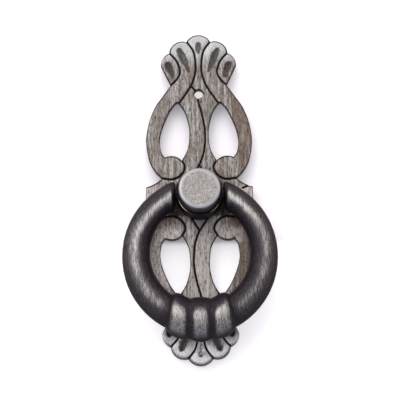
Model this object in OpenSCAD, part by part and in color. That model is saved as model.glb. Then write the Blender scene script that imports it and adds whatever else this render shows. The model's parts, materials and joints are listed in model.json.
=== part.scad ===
// Ring pull for a cabinet door, in millimetres.
// A cast backplate, pierced and engraved as two shell palmettes over a lyre, carries a turned boss.
// A cast ring with three beads hangs from two pegs in the boss's cross bore.
// X is to the right, Y goes into the door and Z is up.
// The origin lies on the backplate's back face, on the axis of the boss.

/* [Backplate] */
// Height of the backplate from tip to tip
plate_h = 120; // [108:1:132]
// Thickness of the backplate
plate_t = 3; // [2.4:0.1:4]
// Height of each shell palmette, from the waist to its tip
fan_h = 18.8; // [17:0.2:21]
// Width of each shell palmette
fan_w = 27.4; // [25:0.2:29]
// Width of the waist under each palmette
waist_w = 20; // [18.6:0.2:21.4]
// Greatest width of the lyre between waist and wings
lyre_w = 37.7; // [35:0.1:41]
// Width across the two side wings
wing_w = 38; // [36:0.5:44]
// Height of the straight edge of each wing
wing_h = 7.8; // [6:0.2:9]
// Bevel along the front edges of the outline and of the piercings
plate_edge = 0.4; // [0.2:0.05:0.45]

/* [Engraving] */
// Width of the engraved lines
line_w = 0.6; // [0.4:0.05:0.9]
// Depth of the engraved lines
line_d = 0.5; // [0.3:0.05:0.9]
// Width of the hollow in each side petal
hollow_w = 2.5; // [2:0.1:2.7]
// Width of the hollow in each middle petal
tip_hollow_w = 2.2; // [1.7:0.1:2.4]
// Depth of the hollow in each petal
hollow_d = 0.7; // [0.4:0.05:0.8]
// Depth of the sunk triangle at each side of the boss
sunk_d = 0.35; // [0.2:0.05:0.6]

/* [Pin holes] */
// Diameter of the holes for the fixing pins
pin_d = 3.2; // [2.4:0.1:3.6]
// Distance of each pin hole below the waist
pin_drop = 3.3; // [2.5:0.1:4]

/* [Boss] */
// Diameter of the boss
boss_d = 14.6; // [13:0.1:15]
// Height of the boss over the backplate
boss_h = 16.6; // [14:0.1:19]
// Rounding of the boss's front edge
boss_edge = 1.2; // [0.6:0.1:2]
// Diameter of the hub under the boss, at the backplate
hub_d = 16.4; // [15.9:0.1:17]
// Height of the hub over the backplate
hub_h = 7.4; // [7.2:0.1:9]
// Draft of the hub's side over its whole height
hub_draft = 0.3; // [0.1:0.05:0.4]
// Depth of the turned groove between hub and boss
hub_groove = 0.35; // [0.2:0.05:0.6]
// Diameter of the spigot that sits in the backplate
spigot_d = 9; // [8:0.1:10]
// Radial clearance of the spigot in the backplate
spigot_fit = 0.03; // [0.01:0.01:0.1]
// Core diameter of the tapped hole for the M4 fixing screw
tap_d = 3.3; // [2.8:0.1:4.2]
// Metal left between the tapped hole and the cross bore
tap_web = 1.2; // [0.8:0.1:2]

/* [Ring] */
// Width of the ring, between the middles of its two sides
ring_w = 44.8; // [40:0.2:50]
// Height of the ring along the same middle line
ring_h = 46.8; // [42:0.2:52]
// Thickness of the ring at its two ends
tube_end_d = 9; // [8.4:0.1:9.4]
// Thickness of the ring at its two sides
tube_side_d = 9.8; // [9:0.1:10.6]
// Thickness of the ring beside its beads
tube_low_d = 11.2; // [10:0.1:12]
// Diameter of the middle bead
bead_d = 15.6; // [14.6:0.1:16.6]
// Diameter of the two side beads
side_bead_d = 14.9; // [14:0.1:15.6]
// Diameter at the two notches between the beads
notch_d = 13.8; // [12:0.1:14]
// Length of each bead along the ring
bead_len = 8; // [7:0.1:9]
// Lean of the outer edges of the side beads from the vertical, in degrees
bead_lean = 12; // [6:1:20]
// Rounding of the edges of the ring's two end faces
end_edge = 1.3; // [0.6:0.1:1.6]

/* [Hinge] */
// Height of the hinge axis over the backplate
hinge_h = 5; // [4.8:0.1:5.3]
// Gap between each end face of the ring and the hub
end_gap = 0.3; // [0.2:0.05:0.6]
// Gap left between the beads and the backplate where the ring comes to rest
bead_gap = 0.3; // [0.2:0.05:0.6]
// Diameter of the two pegs
peg_d = 3.2; // [2.6:0.1:3.4]
// Radial clearance of the pegs in the cross bore
peg_fit = 0.05; // [0.02:0.01:0.1]
// Length of each peg inside the hub
peg_in = 5; // [3:0.1:6]

/* [Hidden] */
$fn = 64;

// Stations of the backplate's upper half
waist_z = plate_h / 2 - fan_h;
wing_z = wing_h / 2;
lyre_h = waist_z - wing_z;
pin_z = waist_z - pin_drop;

// Hinge axis, cross bore and tapped hole, measured from the back face
hinge_y = plate_t + hinge_h;
bore_d = peg_d + 2 * peg_fit;
tap_depth = hinge_y - bore_d / 2 - tap_web;
hub_r = hub_d / 2;
end_x = hub_r + end_gap;

// Half axes of the ring's middle line, the angle of its ends from the top, and its middle under the hinge
ring_rx = ring_w / 2;
ring_rz = ring_h / 2;
end_angle = asin(end_x / ring_rx);
ring_z = -ring_rz * cos(end_angle);
bead_angle = bead_len / ring_rz * 180 / PI;
beads_half_angle = 1.5 * bead_angle;

// Lean of the resting ring, whose middle bead is thicker than the hinge is high
ring_lean = asin((bead_d / 2 + bead_gap - hinge_h) / (ring_rz - ring_z));

// Smoothness of curves, and how far a cut reaches past the face that it opens
curve_steps = 5;
arc_steps = 10;
ring_sides = 28;
tube_step = 4;
bead_steps = 12;
over = 1;
bevel_over = 0.05;

function turn_x(points) = [for (p = points) [-p.x, p.y]];
function turn_z(points) = [for (p = points) [p.x, -p.y]];
function backwards(points) = [for (i = [len(points) - 1 : -1 : 0]) points[i]];
function without_first(points) = [for (i = [1 : len(points) - 1]) points[i]];
function without_ends(points) = [for (i = [1 : len(points) - 2]) points[i]];

// Smooth curve through hand-picked points
function knot(p, i) =
    i < 0 ? 2 * p[0] - p[1] :
    i >= len(p) ? 2 * p[len(p) - 1] - p[len(p) - 2] : p[i];
function blend(a, b, c, d, t) =
    b + t / 2 * (c - a + t * (2 * a - 5 * b + 4 * c - d + t * (3 * (b - c) + d - a)));
function curve(p) = concat(
    [for (i = [0 : len(p) - 2], k = [0 : curve_steps - 1])
        blend(knot(p, i - 1), p[i], p[i + 1], knot(p, i + 2), k / curve_steps)],
    [p[len(p) - 1]]);

// Arc from a through b to c
function middle(a, b, c) =
    let (det = 2 * (a.x * (b.y - c.y) + b.x * (c.y - a.y) + c.x * (a.y - b.y)))
    [(a * a) * (b.y - c.y) + (b * b) * (c.y - a.y) + (c * c) * (a.y - b.y),
     (a * a) * (c.x - b.x) + (b * b) * (a.x - c.x) + (c * c) * (b.x - a.x)] / det;
function wrap(angle) = angle - 360 * floor(angle / 360);
function arc(a, b, c) =
    let (o = middle(a, b, c),
         r = norm(a - o),
         from = atan2(a.y - o.y, a.x - o.x),
         to = atan2(c.y - o.y, c.x - o.x),
         left = (b.x - a.x) * (c.y - b.y) - (b.y - a.y) * (c.x - b.x) > 0,
         sweep = left ? wrap(to - from) : -wrap(from - to))
    [for (i = [0 : arc_steps]) let (t = from + sweep * i / arc_steps) o + r * [cos(t), sin(t)]];

// Places on the upper half: shares of a zone's half width and of its height
function fan(u, v) = [u * fan_w / 2, waist_z + v * fan_h];
function lyre(u, v) = [u * lyre_w / 2, wing_z + v * lyre_h];
function fan_curve(points) = [for (p = points) fan(p.x, p.y)];
function lyre_curve(points) = [for (p = points) lyre(p.x, p.y)];

// Corners of the outline and of the piercing, and how high the sunk triangle's point lies in the lyre
waist = [waist_w / 2, waist_z];
petal_notch = [fan(0.32, 0.868), fan(0.77, 0.643)];
shoulder = fan(0.99, 0.4);
wing_root = lyre(0.705, 0.085);
wing_tip = [wing_w / 2, wing_z];
cusp = lyre(0.33, 0.26);
corner = lyre(0.65, 0.29);
point_v = 0.213;

// Outline of the right upper quarter, from the tip down to the wing
tip_arc = arc(turn_x([petal_notch[0]])[0], fan(0, 1), petal_notch[0]);
quarter = concat(
    [for (i = [arc_steps / 2 : arc_steps]) tip_arc[i]],
    without_first(arc(petal_notch[0], fan(0.56, 0.857), petal_notch[1])),
    without_first(arc(petal_notch[1], fan(0.92, 0.557), shoulder)),
    curve(concat([waist],
                 lyre_curve([[0.68, 0.895], [0.835, 0.78], [0.945, 0.64], [1, 0.49],
                             [0.995, 0.39], [0.94, 0.255], [0.835, 0.155]]),
                 [wing_root])),
    without_first(arc(wing_root, lyre(0.845, 0.033), wing_tip)));
right_side = concat(quarter, backwards(turn_z(quarter)));
outline = concat(right_side, without_ends(backwards(turn_x(right_side))));

// One piercing: up the outer side, over the top, down the inner side, then along the scroll
piercing = concat(
    curve(concat([corner],
                 lyre_curve([[0.715, 0.34], [0.745, 0.445], [0.715, 0.545], [0.645, 0.645], [0.55, 0.745],
                             [0.455, 0.812], [0.4, 0.828], [0.335, 0.795], [0.255, 0.72], [0.195, 0.605],
                             [0.183, 0.505], [0.207, 0.39], [0.26, 0.32]]),
                 [cusp])),
    without_ends(arc(cusp, lyre(0.48, 0.302), corner)));

// Engraved lines of one upper quarter
inner_line = curve(concat([petal_notch[0]],
                          fan_curve([[0.135, 0.675], [0.08, 0.445], [0.085, 0.245], [0.17, 0.035]]),
                          lyre_curve([[0.21, 0.94], [0.36, 0.83]])));
outer_line = curve(concat([petal_notch[1]],
                          fan_curve([[0.605, 0.51], [0.505, 0.36], [0.49, 0.23], [0.58, 0.105]]),
                          [waist]));
scroll_line = curve(concat([cusp],
                           lyre_curve([[0.275, 0.205], [0.29, 0.155], [0.365, 0.105],
                                       [0.45, 0.08], [0.55, 0.073]]),
                           [wing_root]));

// Engraved lines that are not the same left and right
stem_line = curve(concat([[0, pin_z]],
                         lyre_curve([[-0.02, 0.86], [0.058, 0.715], [0.108, 0.575], [0.115, 0.465],
                                     [0.095, 0.355], [0.052, 0.275], [0, point_v]])));
pin_tick = [lyre(-0.13, 0.98), [0, pin_z]];
wing_tick = lyre_curve([[0.815, -0.015], [0.965, 0.016]]);

// Point of the sunk triangle and its two feet, which lie under the hub
triangle = lyre_curve([[0, point_v], [0.26, 0], [-0.26, 0]]);

// A line becomes a strip of constant width that reaches a little past both ends
function heading(p, i) =
    let (d = p[min(i + 1, len(p) - 1)] - p[max(i - 1, 0)])
    d / norm(d);
function lengthened(p, reach) =
    let (n = len(p) - 1)
    concat([p[0] - reach * heading(p, 0)], without_ends(p), [p[n] + reach * heading(p, n)]);
function beside(p, away) =
    [for (i = [0 : len(p) - 1]) p[i] + away * [-heading(p, i).y, heading(p, i).x]];

module strip(line, reach) {
    long = lengthened(line, reach);
    polygon(concat(beside(long, line_w / 2), backwards(beside(long, -line_w / 2))));
}

// Turns a drawing of X and Z into a slab that lies between two depths behind the front face
module slab(front, back) {
    translate([0, back - plate_t, 0]) rotate([90, 0, 0]) linear_extrude(back - front) children();
}

module upper_and_lower() {
    children();
    mirror([0, 0, 1]) children();
}

module left_and_right() {
    children();
    mirror([1, 0, 0]) children();
}

module half_turned() {
    children();
    rotate([0, 180, 0]) children();
}

// Hollow of one petal: part of a spindle, widest a little outside its middle and blunt at its outer end
spindle_lean = 0.7;
spindle_blunt = 0.6;
function spindle(t) = pow(sin(180 * pow(t, spindle_lean)), spindle_blunt);
module hollow(from, to, width) {
    length = norm(to - from);
    radius = (width * width / 4 + hollow_d * hollow_d) / (2 * hollow_d);
    turn = atan2(to.x - from.x, to.y - from.y);
    translate([from.x, -plate_t - (radius - hollow_d), from.y]) rotate([0, turn, 0])
        rotate_extrude()
            polygon([for (i = [0 : arc_steps]) let (t = (1 - cos(180 * i / arc_steps)) / 2)
                [radius * spindle(t), length * t]]);
}

module petal_hollows() {
    hollow(fan(0, 0.85), fan(0, 0.6), tip_hollow_w);
    left_and_right() {
        hollow(fan(0.525, 0.74), fan(0.235, 0.24), hollow_w);
        hollow(fan(0.825, 0.47), fan(0.67, 0.14), hollow_w);
    }
}

// Bevel along a closed line that has the metal on its right: a wedge that runs all the way round
function side_normal(p, i) =
    let (d = p[(i + 1) % len(p)] - p[i % len(p)])
    [-d.y, d.x] / norm(d);
function moved_left(p, away) =
    [for (i = [0 : len(p) - 1]) let (a = side_normal(p, i + len(p) - 1), b = side_normal(p, i))
        p[i] + away * (a + b) / (1 + a * b)];

module bevel(line) {
    n = len(line);
    front = -plate_t - bevel_over;
    foot = moved_left(line, bevel_over);
    points = concat(
        [for (p = foot) [p.x, -plate_t + plate_edge + bevel_over, p.y]],
        [for (p = moved_left(line, -plate_edge - bevel_over)) [p.x, front, p.y]],
        [for (p = foot) [p.x, front, p.y]]);
    polyhedron(points, [for (k = [0 : 2], i = [0 : n - 1])
        [k * n + i, (k + 1) % 3 * n + i, (k + 1) % 3 * n + (i + 1) % n, k * n + (i + 1) % n]]);
}

module engraving() {
    upper_and_lower() {
        left_and_right() {
            slab(-over, line_d) strip(inner_line, line_w);
            slab(-over, line_d) strip(outer_line, line_w);
            slab(-over, line_d) strip(scroll_line, line_w / 2);
        }
        petal_hollows();
    }
    half_turned() {
        slab(-over, line_d) strip(stem_line, 0);
        slab(-over, line_d) strip(pin_tick, 0);
        slab(-over, line_d) strip(wing_tick, 0);
        slab(-over, sunk_d) polygon(triangle);
        slab(-over, line_d) strip([triangle[0], triangle[1]], 0);
        slab(-over, line_d) strip([triangle[0], triangle[2]], 0);
    }
}

module hole(radius) {
    translate([0, over, 0]) rotate([90, 0, 0]) cylinder(r = radius, h = plate_t + 2 * over);
}

module backplate() {
    color([0.46, 0.44, 0.42]) difference() {
        slab(0, plate_t) polygon(outline);
        upper_and_lower() left_and_right() slab(-over, plate_t + over) polygon(piercing);
        upper_and_lower() translate([0, 0, pin_z]) hole(pin_d / 2);
        hole(spigot_d / 2 + spigot_fit);
        bevel(outline);
        upper_and_lower() left_and_right() bevel(piercing);
        engraving();
    }
}

// Turned profile of the boss: radius, and distance in front of the back face
boss_r = boss_d / 2;
hub_y = plate_t + hub_h;
face_y = plate_t + boss_h;
boss_profile = concat(
    [[0, 0], [spigot_d / 2, 0], [spigot_d / 2, plate_t], [hub_r, plate_t], [hub_r - hub_draft, hub_y],
     [boss_r - hub_groove, hub_y - hub_groove], [boss_r, hub_y]],
    [for (i = [0 : arc_steps]) let (a = 90 * i / arc_steps)
        [boss_r - boss_edge + boss_edge * cos(a), face_y - boss_edge + boss_edge * sin(a)]],
    [[0, face_y]]);

module boss() {
    color([0.56, 0.54, 0.52]) difference() {
        rotate([90, 0, 0]) rotate_extrude() polygon(boss_profile);
        translate([0, over, 0]) rotate([90, 0, 0]) cylinder(d = tap_d, h = tap_depth + over);
        translate([-hub_r - over, -hinge_y, 0]) rotate([0, 90, 0])
            cylinder(d = bore_d, h = 2 * (hub_r + over));
    }
}

// The ring is a row of sections along an oval. Angles run from the top, clockwise from the front.
// The tube's thickness grows smoothly from the ends past the sides to the beads.
tube_end = 180 - beads_half_angle;
function tube_r(a) =
    let (top = cos(end_angle), low = cos(tube_end), c = cos(a))
    (tube_end_d * c * (c - low) / (top * (top - low))
     + tube_side_d * (c - top) * (c - low) / (top * low)
     + tube_low_d * c * (c - top) / (low * (low - top))) / 2;

// Tilt of the oval's normal from the vertical
function tilt(a) = atan2(sin(a) / ring_rx, cos(a) / ring_rz);

// Each section holds an angle, a radius and its own tilt: upright at the end faces, square to the tube
// between, and turned back towards the vertical at the beads
upright = 24;
turned_back = 36;
edge_slip = 180 - bead_lean - tilt(tube_end);
function tube_section(a) =
    [a, tube_r(a), tilt(a) * min(1, (a - end_angle) / upright)
                   + edge_slip * max(0, 1 - (tube_end - a) / turned_back)];

function end_section(inward, cut) = [end_angle + asin(inward / ring_rx), tube_r(end_angle) - cut, 0];
tube_count = round((tube_end - end_angle) / tube_step);
right_sections = concat(
    [for (a = [0 : 30 : 90]) end_section(end_edge * (1 - cos(a)), end_edge * (1 - sin(a)))],
    [for (i = [1 : tube_count]) tube_section(end_angle + (tube_end - end_angle) * i / tube_count)]);

// A bead is a barrel whose radius rises from its two edges to its middle, slowly at first
bead_rise = 1.8;
function bead_r(i) = (i == 0 ? bead_d : side_bead_d) / 2;
function edge_r(i, side) = i * side > 0 ? tube_r(tube_end) : notch_d / 2;
function bead_section(i, k) =
    let (t = 180 * k / bead_steps,
         share = (1 - cos(t)) / 2,
         place = (i + share - 0.5) * bead_angle / beads_half_angle,
         edge = edge_r(i, -1) * (1 - share) + edge_r(i, 1) * share)
    [180 + beads_half_angle * place, edge + (bead_r(i) - edge) * pow(sin(t), bead_rise),
     180 + bead_lean * place * abs(place)];
bead_sections = [for (i = [-1 : 1], k = [(i == -1 ? 1 : 0) : bead_steps - 1]) bead_section(i, k)];

left_sections = [for (s = backwards(right_sections)) [360 - s[0], s[1], 360 - s[2]]];
sections = concat(right_sections, bead_sections, left_sections);

function full_tilt(a) = a > 180 ? 360 + tilt(a) : tilt(a);
function section_points(s) =
    let (wide = s[1] / cos(full_tilt(s[0]) - s[2]))
    [for (k = [0 : ring_sides - 1]) let (b = 360 * k / ring_sides)
        [ring_rx * sin(s[0]) + wide * cos(b) * sin(s[2]),
         s[1] * sin(b),
         ring_z + ring_rz * cos(s[0]) + wide * cos(b) * cos(s[2])]];

module ring_body() {
    n = ring_sides;
    last = len(sections) - 1;
    points = [for (s = sections) each section_points(s)];
    walls = [for (i = [0 : last - 1], k = [0 : n - 1])
        [i * n + k, i * n + (k + 1) % n, (i + 1) * n + (k + 1) % n, (i + 1) * n + k]];
    first_end = [for (k = [n - 1 : -1 : 0]) k];
    last_end = [for (k = [0 : n - 1]) last * n + k];
    polyhedron(points, concat(walls, [first_end, last_end]));
}

module peg() {
    translate([hub_r - peg_in, 0, 0]) rotate([0, 90, 0]) cylinder(d = peg_d, h = peg_in + end_gap + over);
}

module ring() {
    color([0.24, 0.24, 0.26]) translate([0, -hinge_y, 0]) rotate([-ring_lean, 0, 0]) {
        ring_body();
        left_and_right() peg();
    }
}

backplate();
boss();
ring();
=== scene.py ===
"""Ring pull: its backplate, boss and ring with their finishes, against a pale studio wall."""

import json
import math

import bmesh
import bpy
import numpy as np
from bpy.props import FloatProperty, FloatVectorProperty, PointerProperty
from mathutils import Matrix, Vector

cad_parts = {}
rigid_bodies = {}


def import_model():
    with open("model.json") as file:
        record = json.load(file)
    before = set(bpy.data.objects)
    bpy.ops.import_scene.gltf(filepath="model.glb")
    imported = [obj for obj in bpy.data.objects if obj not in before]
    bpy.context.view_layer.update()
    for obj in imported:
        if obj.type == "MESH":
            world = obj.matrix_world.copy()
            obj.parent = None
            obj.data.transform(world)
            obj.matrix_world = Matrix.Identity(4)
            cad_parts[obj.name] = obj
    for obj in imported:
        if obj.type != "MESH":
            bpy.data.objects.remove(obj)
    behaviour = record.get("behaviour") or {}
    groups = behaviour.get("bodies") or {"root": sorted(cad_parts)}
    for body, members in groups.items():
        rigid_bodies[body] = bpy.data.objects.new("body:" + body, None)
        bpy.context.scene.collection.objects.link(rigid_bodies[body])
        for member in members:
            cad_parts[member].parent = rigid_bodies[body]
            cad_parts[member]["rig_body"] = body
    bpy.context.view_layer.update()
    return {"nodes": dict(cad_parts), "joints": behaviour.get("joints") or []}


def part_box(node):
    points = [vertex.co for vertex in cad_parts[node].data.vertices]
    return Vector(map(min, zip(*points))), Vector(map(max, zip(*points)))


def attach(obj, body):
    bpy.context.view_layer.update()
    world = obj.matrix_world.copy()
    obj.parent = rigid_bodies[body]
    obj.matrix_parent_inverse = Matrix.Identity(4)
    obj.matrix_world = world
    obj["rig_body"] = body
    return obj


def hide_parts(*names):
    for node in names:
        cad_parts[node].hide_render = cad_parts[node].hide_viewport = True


bl_info = {
    "name": "Ring Pull",
    "version": (1, 0, 0),
    "blender": (4, 5, 0),
    "location": "View3D > Sidebar > Ring Pull",
    "description": "Builds a pierced and engraved ring pull with aged metal finishes",
    "category": "Object",
}

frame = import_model()
PLATE_LOW, PLATE_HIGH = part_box("backplate")
BOSS_LOW, BOSS_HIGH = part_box("boss")
HINGE = next(joint["pos_m"] for joint in frame["joints"] if joint["name"] == "ring_hinge")
MM = 0.001

# Fineness of the meshes
PLATE_CELL = 0.22 * MM
CURVE_STEPS = 8
ARC_STEPS = 17
TURN_STEPS = 128
THREAD_ROWS = 64
FACE_ROWS = 34
RING_SIDES = 72
TUBE_ROWS = 84
BEAD_ROWS = 24

# What all three metals share
METALLIC = 0.85
BUMP_STRENGTH = 0.5
BUMP_HEIGHT = 0.15 * MM


def number(name, text, value, **kind):
    """A number that a user can change."""
    return FloatProperty(name=name, description=text, default=value, **kind)


def length(name, text, millimetres):
    """A length that a user can change, given in millimetres."""
    return number(name, text, millimetres * MM, unit="LENGTH", precision=5)


def colour(name, text, red, green, blue):
    """A colour that a user can change."""
    return FloatVectorProperty(name=name, description=text, default=(red, green, blue), min=0.0, max=1.0,
                               subtype="COLOR")


class PlateSizes(bpy.types.PropertyGroup):
    """Sizes of the backplate that its box doesn't give"""

    fan_height: length("Palmette height", "From the waist to the tip of a palmette", 18.8)
    fan_width: length("Palmette width", "Across the outer petals", 27.4)
    waist_width: length("Waist width", "Across the waist under a palmette", 20)
    lyre_width: length("Lyre width", "Greatest width between waist and wings", 37.7)
    wing_height: length("Wing height", "Straight edge at the end of each wing", 7.8)
    line_width: length("Line width", "Width of the engraved lines", 0.6)
    line_depth: length("Line depth", "Depth of the engraved lines", 0.5)
    hollow_width: length("Hollow width", "Width of the hollow in each side petal", 2.5)
    tip_hollow_width: length("Middle hollow width", "Width of the hollow in each middle petal", 2.2)
    hollow_depth: length("Hollow depth", "Depth of the hollow in each petal", 0.7)
    sunk_depth: length("Triangle depth", "Depth of the sunk triangle at each side of the boss", 0.35)
    pin_width: length("Pin hole", "Diameter of the holes for the fixing pins", 3.2)
    pin_drop: length("Pin drop", "Distance of each pin hole below the waist", 3.3)
    bore_width: length("Boss bore", "Diameter of the bore that holds the boss", 9.06)
    edge_round: length("Edge rounding", "Rounding of the front edges", 0.45)
    petal_round: length("Petal rounding", "Rounding of the petals' outer edges", 1.1)


class BossSizes(bpy.types.PropertyGroup):
    """Sizes of the boss that its box doesn't give"""

    boss_width: length("Boss width", "Diameter of the boss", 14.6)
    edge_round: length("Edge rounding", "Rounding of the front edge", 1.2)
    hub_height: length("Hub height", "Height of the hub over the backplate", 7.4)
    hub_draft: length("Hub draft", "Draft of the hub's side over its whole height", 0.3)
    groove: length("Groove", "Depth of the turned groove between hub and boss", 0.35)
    spigot_width: length("Spigot width", "Diameter of the spigot in the backplate", 9)
    tap_width: length("Thread core", "Core diameter of the tapped hole", 3.3)
    tap_depth: length("Thread depth", "Depth of the tapped hole", 5.15)
    tap_pitch: length("Thread pitch", "Rise of the thread in one turn", 0.7)
    face_dip: length("Face dip", "How far the stippled face lies below its rim", 0.06)


class RingSizes(bpy.types.PropertyGroup):
    """Sizes of the ring along its middle line"""

    ring_width: length("Ring width", "Between the middles of the ring's two sides", 44.8)
    ring_height: length("Ring height", "Height of the same middle line", 46.8)
    end_width: length("End width", "Thickness at the two ends", 9)
    side_width: length("Side width", "Thickness at the two sides", 9.8)
    low_width: length("Low width", "Thickness beside the beads", 11.2)
    bead_width: length("Bead width", "Diameter of the middle bead", 15.6)
    side_bead_width: length("Side bead width", "Diameter of the two side beads", 14.9)
    notch_width: length("Notch width", "Diameter at the notches between the beads", 13.8)
    bead_length: length("Bead length", "Length of each bead along the ring", 8)
    end_round: length("End rounding", "Rounding of the edges of the end faces", 1.3)
    end_gap: length("End gap", "Gap between each end face and the hub", 0.3)
    bead_gap: length("Bead gap", "Gap between the resting beads and the backplate", 0.3)
    peg_width: length("Peg width", "Diameter of the two pegs", 3.2)
    peg_length: length("Peg length", "Length of each peg inside the hub", 5)


class Finishes(bpy.types.PropertyGroup):
    """Colours of the aged metal, some of which also serve as painted light and shade"""

    pewter_light: colour("Light pewter", "Brushed metal of the petals and the boss", 0.59, 0.58, 0.585)
    # Bright pewter is painted light on the lower petals; warm pewter is wear and painted light on wings,
    # lower scrolls and stem
    pewter_bright: colour("Bright pewter", "Rubbed metal of the lower petals", 0.88, 0.85, 0.855)
    pewter_warm: colour("Warm pewter", "Rubbed metal of wings, lower scrolls and stem", 0.64, 0.56, 0.53)
    pewter_rim: colour("Rim pewter", "Polished rim of the boss", 0.54, 0.53, 0.54)
    pewter_mid: colour("Mid pewter", "Brushed metal of the plate", 0.26, 0.223, 0.198)
    pewter_dark: colour("Dark pewter", "Dark streaks of the brushed metal", 0.1, 0.088, 0.08)
    floor_grey: colour("Triangle grey", "Flat floor of the sunk triangles", 0.2, 0.2, 0.205)
    stain: colour("Stain", "Brown streaks of the brushed metal", 0.178, 0.125, 0.09)
    tarnish: colour("Tarnish", "Dark tarnish in the petals' hollows", 0.052, 0.042, 0.038)
    patina_and_shade: colour("Patina", "Black patina in lines, hollows and walls", 0.017, 0.011, 0.0115)
    # Blued metal is also the painted shade on the boss's side and hub
    blued_and_shade: colour("Blued metal", "Blue black of the hub and of the boss's side", 0.0165, 0.0155, 0.019)
    gunmetal: colour("Gunmetal", "Dark metal of the ring's flanks", 0.026, 0.021, 0.0245)
    # Rubbed gunmetal, worn metal and warm worn metal are bare metal and painted highlight along the ring's
    # crest
    steel: colour("Rubbed gunmetal", "Half bare metal beside the ring's crest", 0.18, 0.166, 0.17)
    worn: colour("Worn metal", "Bare metal along the ring's crest", 0.61, 0.566, 0.54)
    worn_warm: colour("Warm worn metal", "Bare metal of the ring's right arm", 0.62, 0.55, 0.5)
    # Brass is worn metal and also the painted glint on the hub's edge
    brass: colour("Brass", "Rubbed edge of the hub", 0.95, 0.8, 0.45)


class StageSettings(bpy.types.PropertyGroup):
    """The wall, the lamps and the camera"""

    wall: colour("Wall", "Matt white of the wall and the floor", 0.81, 0.775, 0.815)
    wall_gap: length("Wall gap", "Gap between the backplate and the wall", 1.5)
    key_power: number("Key lamp", "Power of the lamp above, in watts", 13.0)
    fill_power: number("Fill lamp", "Power of the lamp in front, in watts", 1.2)
    camera_distance: length("Camera distance", "From the camera to the middle of the part", 781)
    camera_drop: number("Camera drop", "How far the camera looks up", math.radians(11.5), subtype="ANGLE")
    camera_roll: number("Camera roll", "Turn of the picture", math.radians(-0.5), subtype="ANGLE")
    lens: number("Lens", "Focal length in millimetres", 198.0)


def smoothstep(low, high, value):
    """0 below low, 1 above high, and between them the cubic that starts and ends level."""
    t = np.clip((value - low) / (high - low), 0, 1)
    return t * t * (3 - 2 * t)


def fade(start, end, place):
    """The same step between two places given in millimetres."""
    return smoothstep(start * MM, end * MM, place)


def sweep(start, end, angle):
    """The same step between two angles given in degrees."""
    return smoothstep(math.radians(start), math.radians(end), angle)


def ripple(points, wave, seed):
    """Soft random waves: a sum of cosines along seeded directions, with wavelengths about the one given."""
    rng = np.random.default_rng(seed)
    count, shortest, longest = 24, 0.7, 1.5
    direction = rng.normal(size=(count, points.shape[-1]))
    direction /= np.linalg.norm(direction, axis=1)[:, None]
    turns = 2 * np.pi / (wave * rng.uniform(shortest, longest, count))
    phase = rng.uniform(0, 2 * np.pi, count)
    return np.cos(points @ (direction * turns[:, None]).T + phase).sum(-1) / math.sqrt(count / 2)


def smooth_curve(points):
    """Catmull-Rom curve: on each stretch the cubic whose slope at a point is half the step between its
    neighbours."""
    p = np.asarray(points, float)
    p = np.vstack([2 * p[0] - p[1], p, 2 * p[-1] - p[-2]])
    a, b, c, d = p[:-3, None], p[1:-2, None], p[2:-1, None], p[3:, None]
    t = (np.arange(CURVE_STEPS) / CURVE_STEPS)[None, :, None]
    q = b + t / 2 * (c - a + t * (2 * a - 5 * b + 4 * c - d + t * (3 * (b - c) + d - a)))
    return np.vstack([q.reshape(-1, 2), p[-2]])


def arc(a, b, c):
    """Circle arc from a through b to c: its middle is as far from all three, and the angle runs evenly."""
    a, b, c = (np.asarray(p, float) for p in (a, b, c))
    middle = np.linalg.solve(2 * np.array([b - a, c - a]), [b @ b - a @ a, c @ c - a @ a])
    start, way, end = (math.atan2(*(p - middle)[::-1]) for p in (a, b, c))
    turn = (end - start) % (2 * math.pi)
    if (way - start) % (2 * math.pi) > turn:
        turn -= 2 * math.pi
    angle = start + turn * np.linspace(0, 1, ARC_STEPS + 1)
    return middle + np.linalg.norm(a - middle) * np.column_stack([np.cos(angle), np.sin(angle)])


def distance_to(line, x, z):
    """Distance from each point to the nearest place on a line of straight pieces."""
    nearest = np.full(x.shape, np.inf)
    for (ax, az), (bx, bz) in zip(line[:-1], line[1:]):
        ux, uz = bx - ax, bz - az
        t = np.clip(((x - ax) * ux + (z - az) * uz) / (ux * ux + uz * uz), 0, 1)
        np.minimum(nearest, (x - ax - t * ux) ** 2 + (z - az - t * uz) ** 2, out=nearest)
    return np.sqrt(nearest)


def within(loop, x, z):
    """True where a ray to the right crosses the closed loop an odd number of times."""
    odd = np.zeros(x.shape, bool)
    for (ax, az), (bx, bz) in zip(loop, np.roll(loop, -1, axis=0)):
        if az != bz:
            odd ^= ((az > z) != (bz > z)) & (x < ax + (z - az) * (bx - ax) / (bz - az))
    return odd


def drop(distance, radius):
    """How far a rounded edge falls at a distance from the wall: a quarter circle."""
    short = radius - np.clip(distance, 0, radius)
    return radius - np.sqrt(radius * radius - short * short)


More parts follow.
